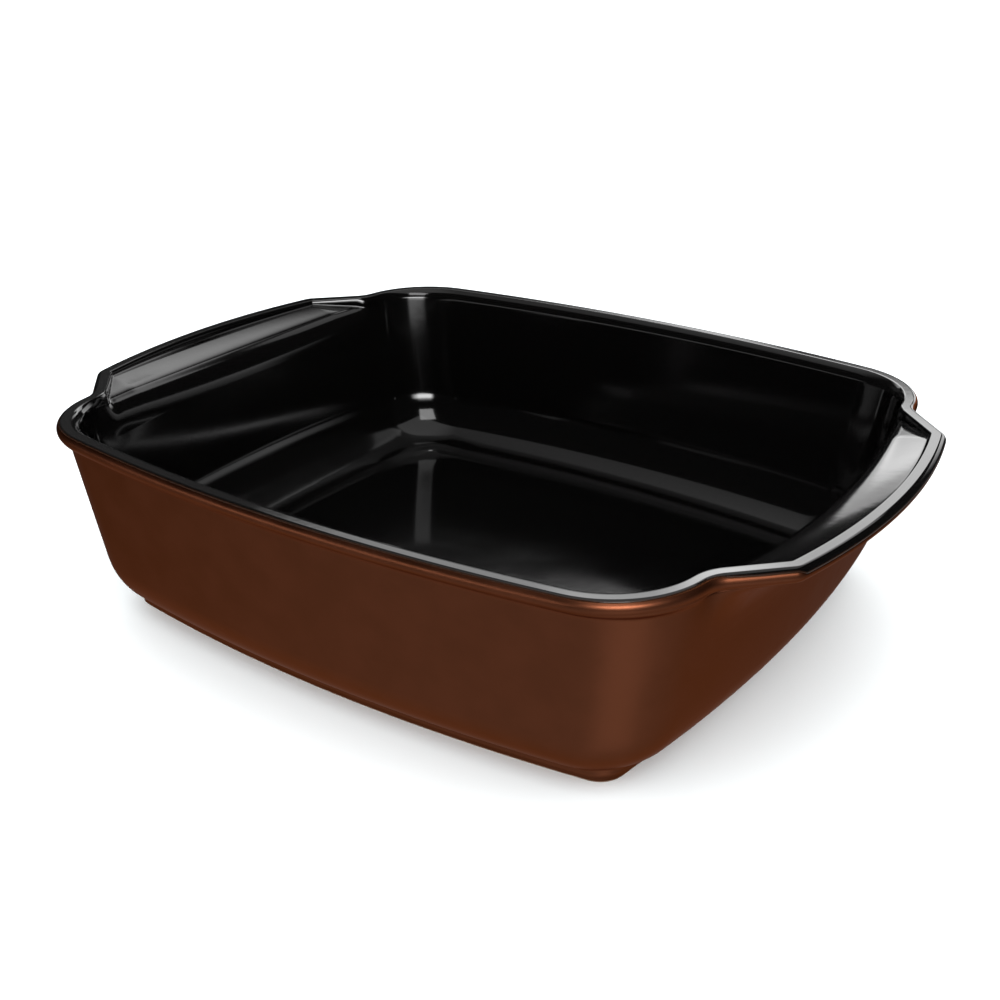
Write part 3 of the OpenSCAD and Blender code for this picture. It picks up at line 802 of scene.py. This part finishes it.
def add_surface(nodes, links, shader, wave_scale, wave_height, cloud_scale):
    """Gives a shader the shared surface's normal, and returns the cloud value."""
    surface = nodes.new("ShaderNodeGroup")
    surface.node_tree = SURFACE
    surface.inputs["Wave Scale"].default_value = wave_scale
    surface.inputs["Wave Height"].default_value = wave_height
    surface.inputs["Cloud Scale"].default_value = cloud_scale
    links.new(surface.outputs["Normal"], shader.inputs["Normal"])
    return surface.outputs["Cloud"]


def add_specks(nodes, scale, size):
    """Adds the shared specks and returns their mask."""
    specks = nodes.new("ShaderNodeGroup")
    specks.node_tree = SPECKS
    specks.inputs["Scale"].default_value = scale
    specks.inputs["Size"].default_value = size
    return specks.outputs["Speck"]


def ranged(nodes, links, value, from_range, to_range):
    """A value moved smoothly from one range to another."""
    ramp = nodes.new("ShaderNodeMapRange")
    ramp.interpolation_type = "SMOOTHSTEP"
    ramp.inputs["From Min"].default_value, ramp.inputs["From Max"].default_value = from_range
    ramp.inputs["To Min"].default_value, ramp.inputs["To Max"].default_value = to_range
    links.new(value, ramp.inputs["Value"])
    return ramp.outputs["Result"]


# Numbers of a mix node's sockets, which have the same names for every kind of data
MIX_VALUE_A = 2
MIX_VALUE_B = 3
MIX_VALUE_RESULT = 0
MIX_COLOUR_A = 6
MIX_COLOUR_B = 7
MIX_COLOUR_RESULT = 2


def mixed(nodes, links, factor, a, b):
    """A colour between two others; either one is a colour or another node's output."""
    mix = nodes.new("ShaderNodeMix")
    mix.data_type = "RGBA"
    links.new(factor, mix.inputs["Factor"])
    for socket, colour in ((mix.inputs[MIX_COLOUR_A], a), (mix.inputs[MIX_COLOUR_B], b)):
        if isinstance(colour, tuple):
            socket.default_value = (*colour, 1)
        else:
            links.new(colour, socket)
    return mix.outputs[MIX_COLOUR_RESULT]


def parting_distance(nodes):
    """The way over the surface from the line where the two glazes meet, in metres."""
    attribute = nodes.new("ShaderNodeAttribute")
    attribute.attribute_name = "from_parting"
    return attribute.outputs["Fac"]


# The black glaze, and how far it thins out from the line where the two glazes meet
BLACK = (0.0012, 0.0011, 0.0011)
BLACK_THIN = (0.02, 0.008, 0.004)
BLACK_BLEND = 0.9 * MM
BLACK_ROUGHNESS = (0.065, 0.095)
BLACK_IOR = 1.5

# The copper glaze on the sides, and on the patch under the foot
COPPER_DARK = (0.2, 0.066, 0.032)
COPPER_LIGHT = (0.222, 0.073, 0.036)
COPPER_THIN = (0.07, 0.025, 0.012)
COPPER_BLEND = 0.7 * MM
COPPER_EDGE_TINT = (0.8, 0.5, 0.42)
COPPER_ROUGHNESS = (0.37, 0.43)
PATCH_ROUGHNESS = (0.46, 0.56)

# The bare clay
CLAY = (0.24, 0.14, 0.085)
CLAY_DARK = (0.18, 0.1, 0.06)
CLAY_SPECK = (0.06, 0.035, 0.02)
CLAY_ROUGHNESS = 0.85


def black_glaze():
    """Deep black gloss that thins to brown where it meets the copper."""
    material, nodes, links, shader = new_material("black_gloss_glaze")
    cloud = add_surface(nodes, links, shader, wave_scale=160, wave_height=0.012 * MM, cloud_scale=30)
    thin = ranged(nodes, links, parting_distance(nodes), (-BLACK_BLEND, 0), (0, 1))
    links.new(mixed(nodes, links, thin, BLACK, BLACK_THIN), shader.inputs["Base Color"])
    links.new(ranged(nodes, links, cloud, CLOUD_RANGE, BLACK_ROUGHNESS), shader.inputs["Roughness"])
    shader.inputs["IOR"].default_value = BLACK_IOR
    return material


def copper_glaze(name, roughness):
    """The satin copper brown that both outer glazes share, with soft clouds."""
    material, nodes, links, shader = new_material(name)
    cloud = add_surface(nodes, links, shader, wave_scale=420, wave_height=0.02 * MM, cloud_scale=60)
    tone = ranged(nodes, links, cloud, CLOUD_RANGE, (0, 1))
    toned = mixed(nodes, links, tone, COPPER_DARK, COPPER_LIGHT)
    shader.inputs["Metallic"].default_value = 1
    shader.inputs["Specular Tint"].default_value = (*COPPER_EDGE_TINT, 1)
    links.new(ranged(nodes, links, cloud, CLOUD_RANGE, roughness), shader.inputs["Roughness"])
    return material, nodes, links, shader, toned


def side_glaze():
    """The copper glaze outside, darker where it thins out against the black."""
    material, nodes, links, shader, toned = copper_glaze("copper_satin_glaze", COPPER_ROUGHNESS)
    thin = ranged(nodes, links, parting_distance(nodes), (0, COPPER_BLEND), (1, 0))
    links.new(mixed(nodes, links, thin, toned, COPPER_THIN), shader.inputs["Base Color"])
    return material


def patch_glaze():
    """The copper glaze inside the foot ring, drier than on the sides and speckled."""
    material, nodes, links, shader, toned = copper_glaze("dry_copper_glaze", PATCH_ROUGHNESS)
    specks = add_specks(nodes, scale=520, size=0.3)
    speck = ranged(nodes, links, specks, (0.2, 1), (0, 0.7))
    links.new(mixed(nodes, links, speck, toned, COPPER_THIN), shader.inputs["Base Color"])
    return material


def bare_clay():
    """Unglazed fired stoneware: sandy, with small iron specks."""
    material, nodes, links, shader = new_material("bare_fired_clay")
    cloud = add_surface(nodes, links, shader, wave_scale=1600, wave_height=0.08 * MM, cloud_scale=110)
    tone = ranged(nodes, links, cloud, CLOUD_RANGE, (0, 1))
    toned = mixed(nodes, links, tone, CLAY_DARK, CLAY)
    specks = add_specks(nodes, scale=700, size=0.28)
    speck = ranged(nodes, links, specks, (0.1, 0.8), (0, 0.8))
    links.new(mixed(nodes, links, speck, toned, CLAY_SPECK), shader.inputs["Base Color"])
    shader.inputs["Roughness"].default_value = CLAY_ROUGHNESS
    return material


def times(nodes, links, a, b):
    """The product of two values."""
    product = nodes.new("ShaderNodeMath")
    product.operation = "MULTIPLY"
    links.new(a, product.inputs[0])
    links.new(b, product.inputs[1])
    return product.outputs[0]


# The standing boxes' distance from the middle of the dish, in metres
BOX_DISTANCE = 2
RIM_MIDDLE = (0, 0, HEIGHT * MM)
STRAIGHT_DOWN = 0.001


def softbox(name, centre, target, width, height, radiance, fades):
    """A soft box; fades says how far its light rises from each edge, as shares.

    The first edge is the one towards smaller azimuths, then the other one, the bottom, the top.
    """
    light = bpy.data.lights.new(name, "AREA")
    light.shape = "RECTANGLE"
    light.size = width
    light.size_y = height
    light.energy = radiance * math.pi * width * height
    light.use_nodes = True
    nodes, links = light.node_tree.nodes, light.node_tree.links
    face = nodes.new("ShaderNodeNewGeometry")
    split = nodes.new("ShaderNodeSeparateXYZ")
    links.new(face.outputs["Parametric"], split.inputs[0])
    near, far, bottom, top = fades
    x, y = split.outputs["X"], split.outputs["Y"]
    across = times(nodes, links, ranged(nodes, links, x, (0, near), (0, 1)),
                   ranged(nodes, links, x, (1, 1 - far), (0, 1)))
    upward = times(nodes, links, ranged(nodes, links, y, (0, bottom), (0, 1)),
                   ranged(nodes, links, y, (1, 1 - top), (0, 1)))
    links.new(times(nodes, links, across, upward), nodes["Emission"].inputs["Strength"])
    lamp = bpy.data.objects.new(name, light)
    back = (Vector(centre) - Vector(target)).normalized()
    side = Vector((0, 0, 1)).cross(back)
    # A box that faces straight down lies along +X
    side = side.normalized() if side.length > STRAIGHT_DOWN else Vector((1, 0, 0))
    turn = Matrix((side, back.cross(side), back)).transposed()
    lamp.matrix_world = Matrix.Translation(centre) @ turn.to_4x4()
    lamp.visible_camera = False
    lamp.visible_diffuse = False
    bpy.context.scene.collection.objects.link(lamp)


def toward(azimuth, elevation, distance):
    """A place at a distance from the middle of the rim; azimuth 0 is +X, 90 is +Y."""
    a, e = math.radians(azimuth), math.radians(elevation)
    return (distance * math.cos(a) * math.cos(e), distance * math.sin(a) * math.cos(e),
            HEIGHT * MM + distance * math.sin(e))


def standing_box(name, azimuths, heights, radiance, fades):
    """A soft box that stands upright, between two azimuths and two heights over the rim."""
    middle = math.radians(sum(azimuths) / 2)
    width = 2 * BOX_DISTANCE * math.tan(math.radians(azimuths[1] - azimuths[0]) / 2)
    height = heights[1] - heights[0]
    level = HEIGHT * MM + sum(heights) / 2
    centre = (BOX_DISTANCE * math.cos(middle), BOX_DISTANCE * math.sin(middle), level)
    softbox(name, centre, (0, 0, level), width, height, radiance, fades)


# The photograph's camera, fitted to the rim's outline, in degrees and millimetres
CAMERA_AZIMUTH = 34.893
CAMERA_ELEVATION = 24.741
CAMERA_ROLL = -0.224
CAMERA_DISTANCE = 606.494
CAMERA_ACROSS = 1.928
CAMERA_UP = -44.407
SENSOR = 36
PHOTO_PIXELS = 1000
FOCAL_PIXELS = 1364.8
CLIP_START = 10


def add_camera():
    """The camera of the photograph, round the middle of the rim."""
    a, e, r = (math.radians(v) for v in (CAMERA_AZIMUTH, CAMERA_ELEVATION, CAMERA_ROLL))
    back = Vector((math.sin(a) * math.cos(e), -math.cos(a) * math.cos(e), math.sin(e)))
    right = Vector((math.cos(a), math.sin(a), 0))
    up = back.cross(right)
    across = right * math.cos(r) + up * math.sin(r)
    upward = up * math.cos(r) - right * math.sin(r)
    position = back * CAMERA_DISTANCE + across * CAMERA_ACROSS + upward * CAMERA_UP
    position.z += HEIGHT
    data = bpy.data.cameras.new("camera")
    data.sensor_width = SENSOR
    data.lens = FOCAL_PIXELS / PHOTO_PIXELS * SENSOR
    data.clip_start = CLIP_START * MM
    camera = bpy.data.objects.new("camera", data)
    turn = Matrix((across, upward, back)).transposed()
    camera.matrix_world = Matrix.Translation(position * MM) @ turn.to_4x4()
    bpy.context.scene.collection.objects.link(camera)
    bpy.context.scene.camera = camera


# The floor's half width, in metres
FLOOR_HALF = 6
FLOOR_COLOUR = (0.86, 0.9, 0.91)
FLOOR_ROUGHNESS = 0.9


def add_floor():
    """A pale floor that the glazes' reflections and the shadow rays don't see."""
    mesh = bpy.data.meshes.new("floor")
    corners = [(-1, -1), (1, -1), (1, 1), (-1, 1)]
    mesh.from_pydata([(x * FLOOR_HALF, y * FLOOR_HALF, 0) for x, y in corners], [], [(0, 1, 2, 3)])
    floor = bpy.data.objects.new("floor", mesh)
    bpy.context.scene.collection.objects.link(floor)
    material, _, _, shader = new_material("pale_floor")
    shader.inputs["Base Color"].default_value = (*FLOOR_COLOUR, 1)
    shader.inputs["Roughness"].default_value = FLOOR_ROUGHNESS
    floor.data.materials.append(material)
    floor.visible_glossy = False
    floor.visible_shadow = False


# The world's strength, what reflections see of it below and above, and between which heights
# of their direction that changes
WORLD_STRENGTH = 2.1
GLOSSY_BELOW = 0.36
GLOSSY_ABOVE = 0.02
GLOSSY_TURN = (-0.7, -0.2)


def add_world():
    """White for the camera and for the floor's light, dim in the glazes' reflections."""
    world = bpy.data.worlds.new("studio")
    world.use_nodes = True
    world.cycles.sampling_method = "NONE"
    nodes, links = world.node_tree.nodes, world.node_tree.links
    background = nodes["Background"]
    place = nodes.new("ShaderNodeTexCoord")
    split = nodes.new("ShaderNodeSeparateXYZ")
    links.new(place.outputs["Generated"], split.inputs[0])
    level = nodes.new("ShaderNodeMapRange")
    level.inputs["From Min"].default_value = GLOSSY_TURN[0]
    level.inputs["From Max"].default_value = GLOSSY_TURN[1]
    level.inputs["To Min"].default_value = GLOSSY_BELOW
    level.inputs["To Max"].default_value = GLOSSY_ABOVE
    links.new(split.outputs["Z"], level.inputs["Value"])
    path = nodes.new("ShaderNodeLightPath")
    mix = nodes.new("ShaderNodeMix")
    links.new(path.outputs["Is Glossy Ray"], mix.inputs[0])
    mix.inputs[MIX_VALUE_A].default_value = WORLD_STRENGTH
    links.new(level.outputs["Result"], mix.inputs[MIX_VALUE_B])
    links.new(mix.outputs[MIX_VALUE_RESULT], background.inputs["Strength"])
    background.inputs["Color"].default_value = (1, 1, 1, 1)
    bpy.context.scene.world = world


def add_lamps():
    """Soft boxes that stand where the photograph's reflections show light."""
    standing_box("right_box", azimuths=(94.5, 116), heights=(0.63, 1.5), radiance=3.4,
                 fades=(0.08, 0.25, 0.12, 0.3))
    standing_box("wide_box", azimuths=(106, 139.3), heights=(1, 1.6), radiance=1.9,
                 fades=(0.2, 0.02, 0.1, 0.95))
    standing_box("near_box", azimuths=(106, 136), heights=(1, 1.55), radiance=1.6,
                 fades=(0.25, 0.8, 0.1, 0.8))
    standing_box("rim_box", azimuths=(108, 134), heights=(0.56, 0.86), radiance=2.6,
                 fades=(0.2, 0.75, 0.08, 0.6))
    standing_box("dim_box", azimuths=(135, 162), heights=(0.5, 1.3), radiance=0.09,
                 fades=(0.15, 0.3, 0.2, 0.3))
    standing_box("high_box", azimuths=(68, 123), heights=(1.25, 2.15), radiance=1.75,
                 fades=(0.1, 0.06, 0.1, 0.35))
    standing_box("low_box", azimuths=(66, 99), heights=(-0.1, 0.6), radiance=2.4,
                 fades=(0.5, 0.05, 0.3, 0.1))
    softbox("ceiling", centre=(-0.35, 0.46, 1.6), target=(-0.35, 0.46, 0), width=2.3, height=1.68,
            radiance=0.8, fades=(0.6, 0.01, 0.02, 0.02))
    softbox("key", centre=toward(-45, 60, BOX_DISTANCE), target=RIM_MIDDLE, width=0.78, height=0.9,
            radiance=4.9, fades=(0.03, 0.03, 0.03, 0.03))
    standing_box("strip", azimuths=(-62, -30), heights=(0.05, 1.15), radiance=6,
                 fades=(0.2, 0.2, 0.18, 0.5))
    standing_box("bead_box", azimuths=(-64, -20), heights=(0.26, 0.9), radiance=11,
                 fades=(0.2, 0.3, 0.4, 0.4))
    standing_box("side_box", azimuths=(-150, -80), heights=(-0.4, 0.2), radiance=2,
                 fades=(0.3, 0.3, 0.3, 0.4))
    standing_box("foot_box", azimuths=(-66, -10), heights=(-2.9, -1.6), radiance=0.6,
                 fades=(0.2, 0.2, 0.3, 0.3))


add_camera()
black = black_glaze()
copper = side_glaze()
dry_copper = patch_glaze()
inner, outer, body = build_dish(black, copper)
base = base_patch(dry_copper)
body.data.materials.append(bare_clay())
for piece, node, slot in (
    (inner, "inner_glaze", "black_glaze"),
    (outer, "outer_glaze", "copper_glaze"),
    (body, "stoneware_body", "bare_clay"),
    (base, "base_glaze", "base_copper_glaze"),
):
    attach(piece, "root")
    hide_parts(node)

add_floor()
add_world()
add_lamps()
bpy.context.scene.view_settings.view_transform = "Standard"
